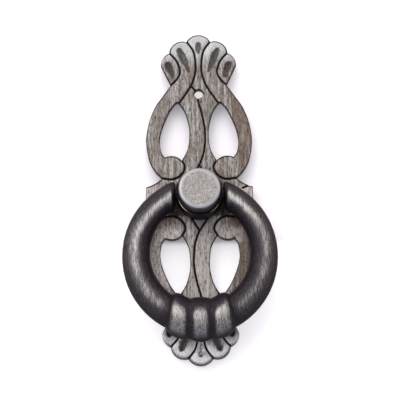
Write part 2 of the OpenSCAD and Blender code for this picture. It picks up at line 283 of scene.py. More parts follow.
class PlateDrawing:
    """The lines of the plate's upper right quarter, in X and Z, and what they do to the surface."""

    def __init__(self, sizes):
        self.sizes = sizes
        self.waist_z = PLATE_HIGH.z - sizes.fan_height
        self.wing_z = sizes.wing_height / 2
        self.pin_z = self.waist_z - sizes.pin_drop
        fan, lyre = self.fan, self.lyre
        waist = (sizes.waist_width / 2, self.waist_z)
        notch, out_notch, shoulder = fan((0.32, 0.868), (0.77, 0.643), (0.99, 0.4))
        root, cusp, corner, point = lyre((0.705, 0.085), (0.33, 0.26), (0.65, 0.29), (0, 0.213))
        wing_tip = (PLATE_HIGH.x, self.wing_z)
        tip_arc = arc((-notch[0], notch[1]), *fan((0, 1)), notch)
        self.outline = np.vstack([
            tip_arc[ARC_STEPS // 2:],
            arc(notch, *fan((0.56, 0.857)), out_notch)[1:],
            arc(out_notch, *fan((0.92, 0.557)), shoulder)[1:],
            smooth_curve([waist, *lyre((0.68, 0.895), (0.835, 0.78), (0.945, 0.64), (1, 0.49),
                                       (0.995, 0.39), (0.94, 0.255), (0.835, 0.155)), root]),
            arc(root, *lyre((0.845, 0.033)), wing_tip)[1:],
            [(PLATE_HIGH.x, 0)],
        ])
        self.piercing = np.vstack([
            smooth_curve([corner, *lyre(
                (0.715, 0.34), (0.745, 0.445), (0.715, 0.545), (0.645, 0.645), (0.55, 0.745),
                (0.455, 0.812), (0.4, 0.828), (0.335, 0.795), (0.255, 0.72), (0.195, 0.605),
                (0.183, 0.505), (0.207, 0.39), (0.26, 0.32)), cusp]),
            arc(cusp, *lyre((0.48, 0.302)), corner)[1:],
        ])
        self.mirrored_lines = [
            smooth_curve([notch, *fan((0.135, 0.675), (0.08, 0.445), (0.085, 0.245), (0.17, 0.035)),
                          *lyre((0.21, 0.94), (0.36, 0.83))]),
            smooth_curve([out_notch, *fan((0.605, 0.51), (0.505, 0.36), (0.49, 0.23), (0.58, 0.105)), waist]),
            smooth_curve([cusp, *lyre((0.275, 0.205), (0.29, 0.155), (0.365, 0.105), (0.45, 0.08),
                                      (0.55, 0.073)), root]),
        ]
        self.triangle = np.array([point, *lyre((0.26, 0), (-0.26, 0))])
        self.turned_lines = [
            smooth_curve([(0, self.pin_z), *lyre(
                (-0.02, 0.86), (0.058, 0.715), (0.108, 0.575), (0.115, 0.465), (0.095, 0.355),
                (0.052, 0.275)), point]),
            np.array([*lyre((-0.13, 0.98)), (0, self.pin_z)]),
            np.array(lyre((0.815, -0.015), (0.965, 0.016))),
            self.triangle[[0, 1]],
            self.triangle[[0, 2]],
        ]
        wide, middle = sizes.hollow_width, sizes.tip_hollow_width
        self.hollows = [
            (*fan((0, 0.85), (0, 0.6)), middle),
            (*fan((0.525, 0.74), (0.235, 0.24)), wide),
            (*fan((0.825, 0.47), (0.67, 0.14)), wide),
        ]

    def fan(self, *shares):
        """Places on the palmette, as shares of its half width and of its height."""
        return [(u * self.sizes.fan_width / 2, self.waist_z + v * self.sizes.fan_height) for u, v in shares]

    def lyre(self, *shares):
        """Places on the lyre, as shares of its half width and of its height."""
        height = self.waist_z - self.wing_z
        return [(u * self.sizes.lyre_width / 2, self.wing_z + v * height) for u, v in shares]

    def rim(self, x, z):
        """Distance to the outline or a piercing: positive in the metal and negative outside it."""
        x, z = np.abs(x), np.abs(z)
        beyond = -5 * MM
        quarter = np.vstack([[(beyond, beyond), (beyond, self.outline[0, 1])], self.outline,
                             [(self.outline[-1, 0], beyond)]])
        outer = distance_to(self.outline, x, z) * np.where(within(quarter, x, z), 1, -1)
        inner = distance_to(self.piercing, x, z) * np.where(within(self.piercing, x, z), -1, 1)
        return np.minimum(outer, inner)

    def pin_rim(self, x, z):
        """Distance to the nearer pin hole."""
        return np.hypot(x, np.abs(z) - self.pin_z) - self.sizes.pin_width / 2

    def metal(self, x, z):
        """Distance to the nearest wall of any kind."""
        bore = np.hypot(x, z) - self.sizes.bore_width / 2
        return np.minimum(np.minimum(self.rim(x, z), self.pin_rim(x, z)), bore)

    def line(self, x, z):
        """Distance to the nearest engraved line. Three lines are mirrored, and the others are turned."""
        side = np.where(z < 0, -1, 1)
        found = [distance_to(line, np.abs(x), np.abs(z)) for line in self.mirrored_lines]
        found += [distance_to(line, x * side, z * side) for line in self.turned_lines]
        return np.minimum.reduce(found)

    def sunk(self, x, z):
        """True inside the sunk triangles."""
        side = np.where(z < 0, -1, 1)
        return within(self.triangle, x * side, z * side)

    def hollow(self, x, z):
        """The petals' hollows. Across, each is a circle's arc, whose radius at the share t of the length is
        sin(pi t^0.7)^0.6 of its greatest. Returns their depth, and a tint that is 1 along their middles and
        fades at their edges."""
        deep = self.sizes.hollow_depth
        depth, tint = np.zeros(x.shape), np.zeros(x.shape)
        for (ax, az), (bx, bz), width in self.hollows:
            radius = (width * width / 4 + deep * deep) / (2 * deep)
            size = math.hypot(bx - ax, bz - az)
            ux, uz = (bx - ax) / size, (bz - az) / size
            share = ((np.abs(x) - ax) * ux + (np.abs(z) - az) * uz) / size
            across = (np.abs(x) - ax) * uz - (np.abs(z) - az) * ux
            along = np.clip(share, 0, 1)
            spindle = np.abs(np.sin(np.pi * along ** 0.7)) ** 0.6
            lift = np.sqrt(np.maximum((radius * spindle) ** 2 - across * across, 0))
            depth = np.maximum(depth, lift - (radius - deep))
            reach, soft = 0.94 * width * spindle, 0.75 * width * spindle + 1e-9
            tint = np.maximum(tint, smoothstep(0, soft, reach - np.abs(across)))
        return depth, tint


def trimmed_grid(half_x, half_z, cell, field):
    """A square grid cut off where the field falls below zero. Whole cells stay inside, and at the edge each
    cell keeps its inside corners and gets new ones where the field crosses zero on its sides.
    Returns the points, the faces' corners in one row, each face's count, and the cut edges."""
    nx, nz = (2 * math.ceil(half / cell) + 3 for half in (half_x, half_z))
    x = (np.arange(nx) - nx // 2) * cell
    z = (np.arange(nz) - nz // 2) * cell
    grid = np.stack(np.meshgrid(x, z, indexing="ij"), -1)
    value = field(grid[..., 0], grid[..., 1])
    inside = value > 0
    margin = 0.12

    def crossings(first, last, start):
        """New corners on the sides from first to last, a little away from both ends, named from start on."""
        cut = inside[first] != inside[last]
        share = value[first][cut] / (value[first][cut] - value[last][cut])
        share = np.clip(share, margin, 1 - margin)[:, None]
        name = np.full(cut.shape, -1)
        name[cut] = start + np.arange(len(share))
        return name, grid[first][cut] * (1 - share) + grid[last][cut] * share

    low, high, every = slice(None, -1), slice(1, None), slice(None)
    name = np.where(inside, np.arange(inside.size).reshape(inside.shape), -1)
    name_x, made_x = crossings((low, every), (high, every), inside.size)
    name_z, made_z = crossings((every, low), (every, high), inside.size + len(made_x))
    places = np.stack([name[:-1, :-1], name_x[:, :-1], name[1:, :-1], name_z[1:],
                       name[1:, 1:], name_x[:, 1:], name[:-1, 1:], name_z[:-1]], -1).reshape(-1, 8)
    places = places[(places >= 0).sum(1) > 2]
    there = places >= 0
    corners = places[there]
    counts = there.sum(1)
    starts = np.cumsum(counts) - counts
    after = np.arange(len(corners)) + 1
    after[starts + counts - 1] = starts
    new = corners >= inside.size
    cut = new & new[after]
    edges = np.column_stack([corners[cut], corners[after][cut]])
    points = np.vstack([grid.reshape(-1, 2), made_x, made_z])
    kept, corners = np.unique(corners, return_inverse=True)
    return points[kept], corners.ravel(), counts, np.searchsorted(kept, edges)


def fill_mesh(name, points, corners, counts, fields):
    """A smooth mesh from its points, the faces' corners in one row, their counts and fields on the points."""
    mesh = bpy.data.meshes.new(name)
    mesh.vertices.add(len(points))
    mesh.vertices.foreach_set("co", np.asarray(points, np.float32).ravel())
    mesh.loops.add(len(corners))
    mesh.loops.foreach_set("vertex_index", np.asarray(corners, np.int32))
    mesh.polygons.add(len(counts))
    mesh.polygons.foreach_set("loop_start", (np.cumsum(counts) - counts).astype(np.int32))
    mesh.update(calc_edges=True)
    mesh.polygons.foreach_set("use_smooth", np.ones(len(counts), bool))
    for key, value in fields.items():
        layer = mesh.attributes.new(key, "FLOAT", "POINT")
        layer.data.foreach_set("value", np.asarray(value, np.float32))
    mesh.validate()
    return mesh


def put(name, data):
    """Puts an object with its data in the scene."""
    made = bpy.data.objects.new(name, data)
    bpy.context.scene.collection.objects.link(made)
    return made


def dress(cad_node, mesh, material):
    """Puts a mesh in the scene as a piece that stands for a CAD node and rides on its body."""
    mesh.materials.append(material)
    piece = put(mesh.name, mesh)
    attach(piece, frame["nodes"][cad_node]["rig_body"])
    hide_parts(cad_node)


def closed_tube(count, sides):
    """Faces of a surface of closed rows, with a pole before the first row and one after the last.
    Returns the faces' corners in one row and each face's count; the poles' points come last."""
    name = np.arange(count * sides).reshape(count, sides)
    beside = np.roll(name, -1, axis=1)
    quads = np.stack([name[:-1], beside[:-1], beside[1:], name[1:]], -1).reshape(-1, 4)
    first, last = count * sides, count * sides + 1
    start = np.column_stack([beside[0], name[0], np.full(sides, first)])
    end = np.column_stack([name[-1], beside[-1], np.full(sides, last)])
    corners = np.concatenate([quads.ravel(), start.ravel(), end.ravel()])
    return corners, np.concatenate([np.full(len(quads), 4), np.full(2 * sides, 3)])


class PlateFront:
    """The plate's front at the points of a grid: its height, and its wear, patina and painted light and shade
    at places measured from the boss's axis."""

    def __init__(self, drawing, flat):
        self.sizes, self.drawing, self.flat = drawing.sizes, drawing, flat
        self.x, self.z = x, z = flat.T
        self.rim = drawing.rim(x, z)
        self.pin = drawing.pin_rim(x, z)
        self.line = drawing.line(x, z)
        self.sunk = drawing.sunk(x, z)
        self.hollow, self.tint = drawing.hollow(x, z)
        self.petals = smoothstep(0.2, 0.7, (np.abs(z) - drawing.waist_z) / self.sizes.fan_height)

    def height(self):
        """The plate's thickness less what edges, lines, hollows and triangles take away. A line's depth
        falls as exp(-d^4) with the distance from it. The metal also falls towards each line as exp(-d^2), by
        0.08 mm on the lyres and 0.28 mm on the petals, and ripples slightly."""
        sizes, petals = self.sizes, self.petals
        thickness, thinnest, pin_round = -PLATE_LOW.y, 1.2 * MM, 0.3 * MM
        edge = sizes.edge_round + (sizes.petal_round - sizes.edge_round) * petals
        groove = sizes.line_depth * np.exp(-(self.line / (0.55 * sizes.line_width)) ** 4)
        pillow = (0.08 + 0.2 * petals) * MM * np.exp(-(self.line / (1.1 * MM)) ** 2)
        sunk = self.sunk * fade(0.1, 0.3, self.line) * sizes.sunk_depth
        casting = 0.02 * MM * ripple(self.flat, 5 * MM, 3)
        taken = drop(self.rim, edge) + drop(self.pin, pin_round) + groove + pillow + self.hollow + sunk
        return np.clip(thickness - taken + casting, thinnest, thickness)

    def patina_and_shade(self):
        """Black in the lines and along the rims, wider where they face upwards, as patina. Painted shade over
        the lower petals' rounded rims, and about the hub and below the ring's ends, where boss and ring shade
        the plate."""
        x, z, petals = self.x, self.z, self.petals
        wall, from_hub = np.minimum(self.rim, self.pin), np.hypot(x, z)
        beside = fade(2, 6, np.abs(x))
        # Painted shade below the ring's ends, beside the hub
        shade_under_ends = fade(14, 11.5, from_hub) * fade(-7.6, -6.4, z) * (z < 0)
        # Below the waist the petals get painted shade that fades over about 2.3 mm from their rounded rims
        petal_rim_and_shade = np.where(z > 0, 0.72 * fade(0.95, 0.57, wall), np.maximum(0.74 - 0.32 * wall / MM, 0))
        step_up = 0.1 * MM
        upward = smoothstep(0.1, 0.9, (self.rim - self.drawing.rim(x, z + step_up)) / step_up)
        return np.maximum.reduce([
            np.exp(-(self.line / (0.68 * self.sizes.line_width)) ** 4),
            np.exp(-(wall / ((0.32 + 0.4 * upward) * MM)) ** 2) * (1 - petals),
            petal_rim_and_shade * petals,
            # Painted shade about the hub, where the boss and ring shade the plate
            np.where(z < 0, 0.5, 0.75) * fade(11.5, 8.6, from_hub) * beside,
            0.66 * shade_under_ends * beside,
        ])

    def pale(self):
        """Lighter on the wings and, below the hub, on the stem, the scrolls and the left arm: partly wear,
        partly painted light where the ring shades the plate.
        """
        x, z, wide = self.x, self.z, np.abs(self.x)
        wings = fade(13, 16, wide) * fade(6, 3, np.abs(z))
        stem = 0.5 * fade(5, 3, wide) * fade(-10, -15, z) * (1 - self.petals)
        scroll = fade(6, 8, wide) * fade(17, 14, wide) * fade(-9, -12.5, z) * fade(-17, -15.5, z)
        left_arm = 0.7 * fade(-10, -12, x) * fade(-7, -10, z) * (1 - self.petals)
        return np.maximum.reduce([wings, stem, np.where(x > 0, 0.7, 1.1) * scroll, left_arm])

    def stained(self):
        """Brown towards the right, less so on the upper scroll and fully on the arm below the hub."""
        x, z = self.x, self.z
        scroll = fade(17, 13, z) * fade(15, 12.5, x) * (z > 0)
        low_arm = fade(9, 12, x) * fade(-8, -12, z)
        return np.maximum(fade(3, 15, x) * (1 - 0.65 * scroll), low_arm) * (1 - self.petals)

    def fields(self):
        """Everything that the plate's finish reads. The hollows in the middle petals are the faintest."""
        middle = fade(2.5, 1.5, np.abs(self.x))
        return {
            "patina_and_shade": self.patina_and_shade(),
            # Painted light: the lower petals are lightened where the ring shades them
            "wear_and_painted_light": self.petals * (self.z < 0),
            "stained": self.stained(),
            "pale": self.pale(),
            "smooth": self.sunk * fade(0.15, 0.4, self.line),
            "petals": self.petals,
            "tint": self.tint * (1 - np.where(self.z < 0, 0.4, 0.15) * middle),
        }


def backplate_mesh(sizes):
    """The front is a grid trimmed by the outline. Walls go straight back from its rim, with a narrow lip
    first, and the back is flat."""
    drawing = PlateDrawing(sizes)
    flat, corners, counts, edges = trimmed_grid(PLATE_HIGH.x, PLATE_HIGH.z, PLATE_CELL, drawing.metal)
    front = PlateFront(drawing, flat)
    points = np.column_stack([front.x, -front.height(), front.z])
    rim, edges = np.unique(edges, return_inverse=True)
    first, second = edges.reshape(-1, 2).T
    lip = points[rim] + [0, 0.15 * MM, 0]
    back = points[rim] * [1, 0, 1]
    rows = [rim, *(len(points) + np.arange(2 * len(rim)).reshape(2, -1))]
    walls = np.concatenate([np.column_stack([near[second], near[first], far[first], far[second]])
                            for near, far in zip(rows, rows[1:])])
    # Patina and painted shade on the lip and on the back's edge, less on the petals
    petals, none = front.petals[rim], np.zeros(len(rim))
    on_walls = {"patina_and_shade": [1 - 0.6 * petals, 0.6 - 0.3 * petals], "petals": [petals, none]}
    fields = {key: np.concatenate([value, *on_walls.get(key, [none, none])])
              for key, value in front.fields().items()}
    mesh = fill_mesh("backplate_relief", np.vstack([points, lip, back]),
                     np.concatenate([corners, walls.ravel()]),
                     np.concatenate([counts, np.full(len(walls), 4)]), fields)
    close_back(mesh)
    return mesh


def close_back(mesh):
    """Fills the open rims at the back with flat faces and keeps their edges sharp."""
    work = bmesh.new()
    work.from_mesh(mesh)
    open_edges = [edge for edge in work.edges if edge.is_boundary]
    for edge in open_edges:
        edge.smooth = False
    bmesh.ops.triangle_fill(work, use_beauty=True, use_dissolve=False, edges=open_edges, normal=(0, 1, 0))
    work.to_mesh(mesh)
    work.free()


def boss_mesh(sizes):
    """A profile of radius against depth turned about the Y axis: tapped hole, spigot, hub, groove, boss.
    The thread stands out by the share of a turn that it has climbed, up and down. The face lies below its
    rim and is slightly hammered."""
    face, plate, hub = -BOSS_LOW.y, -PLATE_LOW.y, BOSS_HIGH.x
    radius, spigot, core = sizes.boss_width / 2, sizes.spigot_width / 2, sizes.tap_width / 2
    hub_front, hub_side = plate + sizes.hub_height, hub - sizes.hub_draft
    groove, inner = radius - sizes.groove, radius - sizes.edge_round
    countersink, thread_height, drill_point = 0.4 * MM, 0.35 * MM, 0.9 * MM
    break_edge, spigot_edge = 0.08 * MM, 0.15 * MM
    quarter = np.linspace(0, np.pi / 2, 10)
    thread = np.linspace(sizes.tap_depth, countersink, THREAD_ROWS)
    across = np.linspace(inner - 0.1 * MM, 0.2 * MM, FACE_ROWS)
    profile = np.vstack([
        [(core, sizes.tap_depth)],
        np.column_stack([np.full(thread.size, core), thread]),
        [(core + countersink, 0), (spigot - spigot_edge, 0), (spigot, spigot_edge), (spigot, plate),
         (hub, plate), (hub, plate + 0.2 * MM), (hub_side, hub_front - 0.6 * MM),
         (hub_side, hub_front - 0.3 * MM), (hub_side - break_edge, hub_front - break_edge),
         (hub_side - 0.3 * MM, hub_front), (groove + 0.1 * MM, hub_front - 0.15 * MM),
         (groove, hub_front - sizes.groove), (radius, hub_front + 0.1 * MM), (radius, hub_front + 1 * MM),
         (radius, face - 2 * sizes.edge_round)],
        np.column_stack([inner + sizes.edge_round * np.cos(quarter),
                         face - sizes.edge_round * (1 - np.sin(quarter))]),
        np.column_stack([across, np.full(across.size, face)]),
    ])
    angle = np.linspace(0, 2 * np.pi, TURN_STEPS, endpoint=False)
    r, depth = profile[:, :1], profile[:, 1:]
    turn = angle / (2 * np.pi) + depth / sizes.tap_pitch
    r = r + np.abs(2 * (turn % 1) - 1) * thread_height * (r == core) * (depth < sizes.tap_depth)
    x, z = r * np.sin(angle), r * np.cos(angle)
    on_face = fade(0.75, 0.25, r - inner) * (depth >= face - 0.25 * MM)
    hammered = 0.008 * MM * ripple(np.stack([x, z], -1), 1.2 * MM, 5)
    depth = depth - on_face * (sizes.face_dip + hammered)
    points = np.stack([x, -depth, z], -1).reshape(-1, 3)
    poles = np.array([[0, -sizes.tap_depth - drill_point, 0], [0, -depth[-1].mean(), 0]])

    # Painted shade and patina: black sets in over the rounded edge, deepens down the side and is stronger on
    # top; the back stays grey
    fallen = (face - depth) / sizes.edge_round
    black = 0.6 * smoothstep(0.3, 0.65, fallen) + 0.4 * smoothstep(0.7, 3, fallen)
    black = np.maximum(black, 0.4 * smoothstep(0.1, 1, np.cos(angle)) * (1 - on_face))
    black = np.where(depth < 0.5 * MM, 0.25, black)
    # Worn brass with a painted glint on the hub's front edge, in two arcs below, more of it on the left
    from_edge = np.hypot(r - hub_side + break_edge, depth - hub_front + break_edge)
    left_arc = sweep(26, 14, np.abs(angle - math.radians(227)))
    right_arc = 0.6 * sweep(20, 8, np.abs(angle - math.radians(133)))
    glint = fade(0.16, 0.04, from_edge) * np.maximum(left_arc, right_arc)

    fields = {
        "stipple": np.append(on_face * fade(0.7, -0.4, r - inner), [0, 1]),
        "patina_and_shade": np.append(black, [1, 0]),
        "glint": np.append(glint, [0, 0]),
    }
    mesh = fill_mesh("boss_turning", np.vstack([points, poles]), *closed_tube(*r.shape), fields)
    mesh.set_sharp_from_angle(angle=math.radians(50))
    return mesh


class RingLine:
    """The ring's middle line, an oval about a middle under the hinge, and its thickness along it."""

    def __init__(self, sizes):
        self.sizes = sizes
        self.rx, self.rz = sizes.ring_width / 2, sizes.ring_height / 2
        self.end_x = BOSS_HIGH.x + sizes.end_gap
        self.end = math.asin(self.end_x / self.rx)
        self.middle_z = -self.rz * math.cos(self.end)
        self.half_beads = 1.5 * (sizes.bead_length / self.rz)
        self.tube_end = math.pi - self.half_beads
        hinge_height = PLATE_LOW.y - HINGE[1]
        rise = sizes.bead_width / 2 + sizes.bead_gap - hinge_height
        self.lean = math.asin(rise / (self.rz - self.middle_z))

    def radius(self, angle):
        """Half the tube's thickness: a parabola in the cosine through the ends, sides and beads."""
        top, low, c = math.cos(self.end), math.cos(self.tube_end), np.cos(angle)
        sizes = self.sizes
        return (sizes.end_width * c * (c - low) / (top * (top - low))
                + sizes.side_width * (c - top) * (c - low) / (top * low)
                + sizes.low_width * c * (c - top) / (low * (low - top))) / 2

    def tilt(self, angle):
        """Direction of the oval's normal, from the vertical."""
        return np.arctan2(np.sin(angle) / self.rx, np.cos(angle) / self.rz) % (2 * np.pi)


def ring_rows(line):
    """Angle, radius and tilt of each section, whether it is on a bead, and its share of wear and painted
    highlight, along the right half of the tube, then the beads and the left half.
    The sections stand upright at the end faces, are square to the tube between, and turn back at the beads,
    which rise as the sine to the power 1.8. A section's place on the beads goes from -1 to 1."""
    sizes = line.sizes
    lean_out, upright, turned_back = (math.radians(degrees) for degrees in (12, 24, 36))
    corner = np.linspace(0, np.pi / 2, 6)
    inward = sizes.end_round * (1 - np.cos(corner))
    none = np.zeros(corner.size)
    end_rows = np.column_stack([
        line.end + np.arcsin(inward / line.rx),
        line.radius(line.end) - sizes.end_round * (1 - np.sin(corner)), none, none, none])
    angle = np.linspace(end_rows[-1, 0], line.tube_end, TUBE_ROWS + 1)[1:]
    from_end, to_beads = angle - line.end, line.tube_end - angle
    slip = math.pi - lean_out - line.tilt(line.tube_end)
    tilt = line.tilt(angle) * np.minimum(1, from_end / upright)
    tilt = tilt + slip * np.maximum(0, 1 - to_beads / turned_back)
    wear_and_painted_light = sweep(0, 10, to_beads) * sweep(0, 0.6, from_end)
    right = np.vstack([end_rows, np.column_stack([
        angle, line.radius(angle), tilt, np.zeros(angle.size), wear_and_painted_light])])
    tube, notch = line.radius(line.tube_end), sizes.notch_width / 2
    beads = []
    for index in (-1, 0, 1):
        t = np.pi * np.arange(1 if index == -1 else 0, BEAD_ROWS) / BEAD_ROWS
        share = (1 - np.cos(t)) / 2
        place = (index + share - 0.5) / 1.5
        peak = (sizes.side_bead_width if index else sizes.bead_width) / 2
        before, after = tube if index == -1 else notch, tube if index == 1 else notch
        edge = before * (1 - share) + after * share
        rise = np.sin(t) ** 1.8
        beads.append(np.column_stack([
            math.pi + line.half_beads * place, edge + (peak - edge) * rise,
            math.pi + lean_out * place * np.abs(place), np.ones(t.size), rise]))
    left = right[::-1] * [-1, 1, -1, 1, 1] + [2 * math.pi, 0, 2 * math.pi, 0, 0]
    return np.vstack([right, *beads, left])


def crest_wear_and_highlight(outward, front, angle, bead, wear_and_painted_light):
    """How bright the crest is, as bare metal and painted highlight, from how far the surface faces outwards
    in the ring's plane, from -1 to 1. The tube has a bell about its crest. Near the ends the bell lies
    further in and is wider and brighter, and at the sides it reaches further out, most on the left. A bead
    gets a painted highlight between its shoulders, from its crest on and less so outwards. Only what faces
    the front gets any of it."""
    from_top = math.pi - np.abs(angle - math.pi)
    right = angle < math.pi
    near_end, side, low = sweep(34, 24, from_top), sweep(45, 80, from_top), sweep(25, 140, from_top)
    crest = 0.12 - 0.21 * sweep(85, 40, from_top) + np.where(right, 0.05, -0.05)
    inner_reach = 0.29 + 0.16 * near_end
    outer_reach = 0.2 + 0.1 * side + 0.12 * side * (1 - low) * ~right
    inside, outside = np.maximum(crest - outward, 0), np.maximum(outward - crest, 0)
    bell = np.exp(-(inside / inner_reach) ** 2 - (outside / outer_reach) ** 1.4)
    tube = bell * (1 - 0.5 * low) * (1 - np.where(right, 0.3, 0.12) * side) * (1 + 0.5 * near_end)
    tube = tube + 0.02 * smoothstep(0.1, 0.5, outward)
    middle = np.abs(angle - math.pi) < math.radians(9)
    shoulder = 0.92 + 0.05 * middle - 0.16 * smoothstep(-0.4, 0.2, outward)
    fall = np.exp(-np.maximum(outward + 0.03, 0) / 1.1) * smoothstep(1.0, 0.8, outward)
    beads = 0.8 * smoothstep(-0.45, -0.05, outward) * fall
    beads = beads * smoothstep(shoulder - 0.34, shoulder + 0.1, wear_and_painted_light)
    return np.where(bead > 0, beads, wear_and_painted_light * tube) * smoothstep(0, 0.2, front)


def ring_mesh(sizes):
    """Circles about the oval, each in its own tilted plane, with a peg before the first and after the last,
    turned about the hinge until the beads rest in front of the plate."""
    line = RingLine(sizes)
    angle, radius, tilt, bead, wear_and_painted_light = ring_rows(line).T[..., None]
    around = np.linspace(0, 2 * np.pi, RING_SIDES, endpoint=False)
    wide = radius / np.cos(line.tilt(angle) - tilt)
    x = line.rx * np.sin(angle) + wide * np.cos(around) * np.sin(tilt)
    y = radius * np.sin(around)
    z = line.middle_z + line.rz * np.cos(angle) + wide * np.cos(around) * np.cos(tilt)
    tube = np.stack([x, y, z], -1)
    peg, bevel, gap = sizes.peg_width / 2, 0.3 * MM, 0.05 * MM
    tip, root = BOSS_HIGH.x - sizes.peg_length, line.end_x
    peg_rows = np.array([(tip, peg - bevel), (tip + bevel, peg), (root - 0.02 * MM, peg), (root, peg + gap),
                         (root, line.radius(line.end) - sizes.end_round - gap)])
    along, r = peg_rows[:, :1], peg_rows[:, 1:]
    right_peg = np.stack(np.broadcast_arrays(along, r * np.sin(around), r * np.cos(around)), -1)
    grid = np.concatenate([right_peg, tube, right_peg[::-1] * [-1, 1, 1]])

    about = np.roll(tube, -1, axis=1) - np.roll(tube, 1, axis=1)
    normal = np.cross(np.gradient(tube, axis=0), about)
    normal /= np.linalg.norm(normal, axis=-1, keepdims=True)
    outward = normal[..., 0] * np.sin(line.tilt(angle)) + normal[..., 2] * np.cos(line.tilt(angle))
    # The crest is wear and painted highlight
    crest = crest_wear_and_highlight(outward, -normal[..., 1], angle, bead, wear_and_painted_light)
    crest = np.pad(crest, [(len(peg_rows), len(peg_rows)), (0, 0)])

    points = np.vstack([grid.reshape(-1, 3), [(tip, 0, 0), (-tip, 0, 0)]])
    points = points @ np.array(Matrix.Rotation(-line.lean, 3, "X")).T + [0, HINGE[1], 0]
    fields = {"crest": np.append(crest, [0, 0])}
    mesh = fill_mesh("ring_casting", points, *closed_tube(*grid.shape[:2]), fields)
    mesh.set_sharp_from_angle(angle=math.radians(60))
    return mesh


def feed(tree, target, inputs):
    """Sets or links a node's inputs, given by name or number."""
    for key, value in inputs.items():
        if isinstance(value, Value):
            tree.links.new(value.socket, target.inputs[key])
        else:
            target.inputs[key].default_value = value


def node(tree, kind, inputs=None, output=0, **settings):
    """Adds a shader node with its inputs and settings, and returns one of its outputs, if it has any."""
    made = tree.nodes.new(kind)
    for key, value in settings.items():
        setattr(made, key, value)
    feed(tree, made, inputs or {})
    return Value(tree, made.outputs[output]) if made.outputs else None


def math_method(operation):
    """A method that joins a value with another one, or with a number, by a math node."""
    def method(self, other):
        return node(self.tree, "ShaderNodeMath", {0: self, 1: other}, operation=operation)
    return method


class Value:
    """An output of a node. Sums, products and the like of values make new nodes."""

    __add__ = math_method("ADD")
    __sub__ = math_method("SUBTRACT")
    __mul__ = math_method("MULTIPLY")
    most = math_method("MAXIMUM")

    def __init__(self, tree, socket):
        self.tree, self.socket = tree, socket

    def ramp(self, low, high, start=0.0, end=1.0):
        """Smooth change from start to end as the value goes from low to high."""
        return node(self.tree, "ShaderNodeMapRange", {0: self, 1: low, 2: high, 3: start, 4: end},
                    interpolation_type="SMOOTHSTEP")

    def blend(self, first, second):
        """The first colour where the value is 0, and the second where it is 1."""
        first, second = (tone if isinstance(tone, Value) else (*tone, 1) for tone in (first, second))
        return node(self.tree, "ShaderNodeMix", {0: self, 6: first, 7: second}, 2, data_type="RGBA")


def attribute(tree, name):
    """A field stored on the mesh."""
    return node(tree, "ShaderNodeAttribute", output="Fac", attribute_name=name)


def coordinate(tree, kind, axis):
    """One coordinate: "Object" is a place on the piece and, in the world, "Generated" is a direction."""
    where = node(tree, "ShaderNodeTexCoord", output=kind)
    return node(tree, "ShaderNodeSeparateXYZ", {0: where}, axis)


def grain(tree, millimetres, detail=3.0, roughness=0.55):
    """Noise whose lumps have about the given size along X, Y and Z."""
    where = node(tree, "ShaderNodeTexCoord", output="Object")
    scale = tuple(1 / (size * MM) for size in millimetres)
    placed = node(tree, "ShaderNodeMapping", {"Vector": where, "Scale": scale})
    noise = {"Vector": placed, "Scale": 1.0, "Detail": detail, "Roughness": roughness}
    return node(tree, "ShaderNodeTexNoise", noise, "Fac")


def metal(name, paint, finish, gloss):
    """A metal whose colour, roughness and height come from paint(tree, finish). Its gloss is the tint of what
    it mirrors when it is seen aslant."""
    material = bpy.data.materials.new(name)
    material.use_nodes = True
    tree = material.node_tree
    base, rough, height = paint(tree, finish)
    relief = {"Height": height, "Strength": BUMP_STRENGTH, "Distance": BUMP_HEIGHT}
    feed(tree, tree.nodes["Principled BSDF"], {
        "Base Color": base,
        "Roughness": rough,
        "Normal": node(tree, "ShaderNodeBump", relief),
        "Metallic": METALLIC,
        "Specular Tint": (*gloss, 1),
    })
    return material


def layered(base, layers):
    """Lays colours over a base one after the other, each by its share."""
    for share, tone in layers:
        base = share.blend(base, tone)
    return base


def plate_paint(tree, finish):
    """Brushed lengthwise: light and dark streaks, brown stains and pits, all quieter on the petals; painted
    light on the lower petals, wings, stem and scrolls; and black where the patina and painted shade are."""
    fine = grain(tree, (0.36, 0.36, 1.9), 3.0, 0.65)
    scratch = grain(tree, (0.3, 0.3, 9), 2.0, 0.6)
    broad = grain(tree, (1.1, 1.1, 13))
    cloud = grain(tree, (5, 5, 9), 2.0)
    speck = grain(tree, (0.55, 0.55, 0.9), 2.0)
    petals, stained = attribute(tree, "petals"), attribute(tree, "stained")
    quiet = petals * -0.8 + 1.0
    dark = fine.ramp(0.49, 0.67).most(scratch.ramp(0.53, 0.64, 0.0, 0.6)) * quiet
    streaks = fine.ramp(0.5, 0.3) + broad.ramp(0.5, 0.35) + scratch.ramp(0.48, 0.36, 0.0, 0.6)
    light = streaks * stained.ramp(0.7, 1.0, 1.0, 0.45) * quiet
    brushed = (fine - 0.5) * 2.2
    tint = attribute(tree, "tint") + ((speck - 0.5) * 0.9 + brushed * 0.7)
    # worn carries the patina and the painted shade, with some brushed noise
    worn = attribute(tree, "patina_and_shade") + brushed * 0.25
    base = layered(petals.blend(finish.pewter_mid, finish.pewter_light), [
        (cloud.ramp(0.4, 0.62) * broad.ramp(0.35, 0.6) * (quiet * 0.75), finish.stain),
        (stained * 0.9, finish.stain),
        # Painted light on the lower petals, then wear and painted light on wings, stem and scrolls
        (attribute(tree, "wear_and_painted_light") * 0.75, finish.pewter_bright),
        (attribute(tree, "pale") * 0.9, finish.pewter_warm),
        (dark * 0.9, finish.pewter_dark),
        (light * 0.4, finish.pewter_light),
        (speck.ramp(0.6, 0.7) * quiet * 0.7, finish.patina_and_shade),
        (attribute(tree, "smooth"), finish.floor_grey),
        (tint.ramp(0.1, 0.95, 0.0, 0.9), finish.tarnish),
        (worn.ramp(0.3, 0.8), finish.patina_and_shade),
    ])
    return base, fine.ramp(0.3, 0.7, 0.42, 0.56), fine


